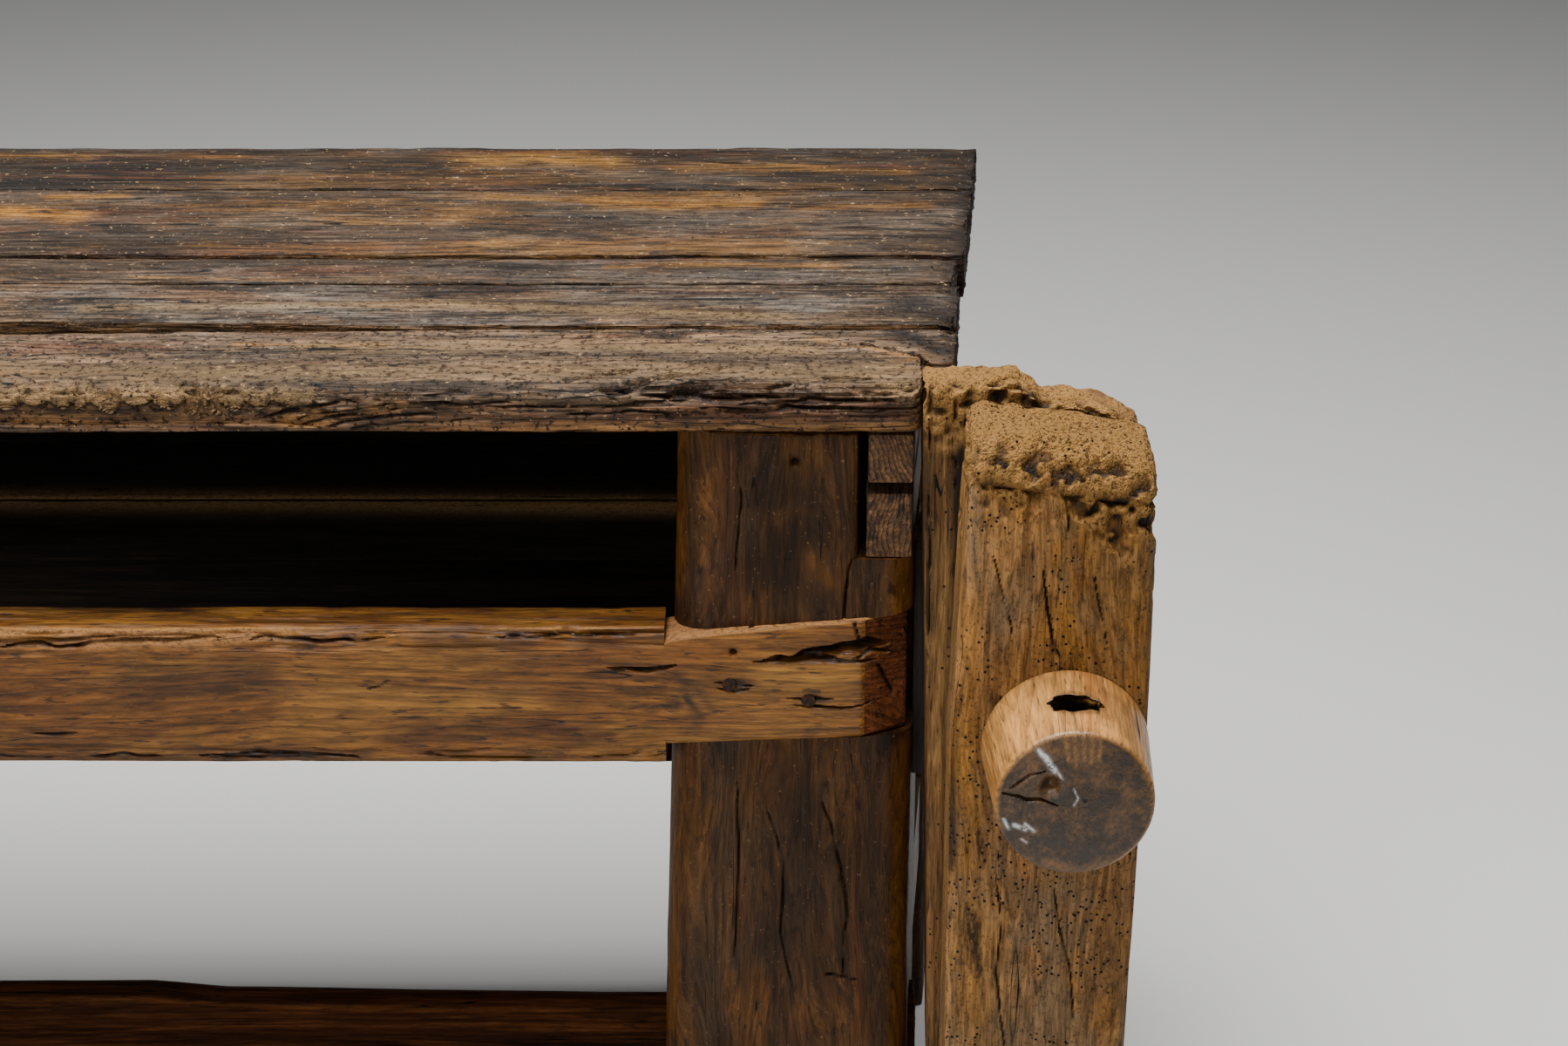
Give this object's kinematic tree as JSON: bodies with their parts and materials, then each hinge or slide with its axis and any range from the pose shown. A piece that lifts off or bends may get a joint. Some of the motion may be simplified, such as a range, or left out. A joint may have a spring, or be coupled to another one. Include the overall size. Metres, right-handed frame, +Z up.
{
  "type": "workbench",
  "caption": "Old plank-top carpenter's workbench on hewn legs with lapped stretchers, a tool shelf, and a leg vise with a wooden screw and parallel guide at its right end.",
  "frame": {"origin": "on the floor, under the middle of the whole outline, vise closed", "axes": "+Z up, +X along the bench towards the vise, +Y from the vise's jaws to the rear"},
  "size_m": [2.1376, 0.7972, 0.822],
  "materials": {
    "top_wood": "dark, worn and dirty planks",
    "leg_wood": "dark hewn wood, worn bright on the corners",
    "stretcher_wood": "golden brown, split and scratched",
    "rail_wood": "grey-brown rough sawn",
    "shelf_wood": "dusty dark boards",
    "post_wood": "grey-brown, worm-eaten",
    "chop_wood": "tan, worm-eaten and cracked",
    "screw_wood": "turned, with a polished dark end",
    "peg_wood": "cut flush",
    "nail_iron": "dark forged iron"
  },
  "bodies": {
    "bench": {"top_board_front": "top_wood", "top_board_second": "top_wood", "top_board_third": "top_wood", "top_board_fourth": "top_wood", "top_board_rear": "top_wood", "leg_front_left": "leg_wood", "leg_front_right": "leg_wood", "leg_rear_left": "leg_wood", "leg_rear_right": "leg_wood", "upper_stretcher_front": "stretcher_wood", "lower_stretcher_front": "rail_wood", "upper_stretcher_rear": "stretcher_wood", "lower_stretcher_rear": "rail_wood", "top_bearer_left": "rail_wood", "upper_end_rail_left": "rail_wood", "lower_end_rail_left": "rail_wood", "top_bearer_right": "rail_wood", "upper_end_rail_right": "rail_wood", "lower_end_rail_right": "rail_wood", "shelf_bearer_left": "shelf_wood", "shelf_bearer_middle": "shelf_wood", "shelf_bearer_right": "shelf_wood", "shelf_board_1": "shelf_wood", "shelf_board_2": "shelf_wood", "shelf_board_3": "shelf_wood", "shelf_board_4": "shelf_wood", "frame_pegs": "peg_wood", "stretcher_nails": "nail_iron", "top_nails": "nail_iron", "vise_post": "post_wood", "nut_block": "post_wood", "nut_block_nails": "nail_iron"},
    "chop": {"vise_chop": "chop_wood", "garter_key": "chop_wood", "parallel_guide": "rail_wood", "guide_pin": "peg_wood", "guide_peg": "peg_wood"},
    "screw": {"vise_screw": "screw_wood"}
  },
  "joints": [
    {"name": "chop_slide", "type": "slide", "parent": "bench", "child": "chop", "axis": [0, -1, 0], "range_m": [0, 0.18]},
    {"name": "screw_turn", "type": "hinge", "parent": "chop", "child": "screw", "pos_m": [1.00875, -0.3043, 0.578], "axis": [0, -1, 0], "range_deg": [0, 3240]}
  ],
  "couplings": [
    {"joint": "chop_slide", "follows": "screw_turn", "m_per_rad": 0.0031831}
  ]
}
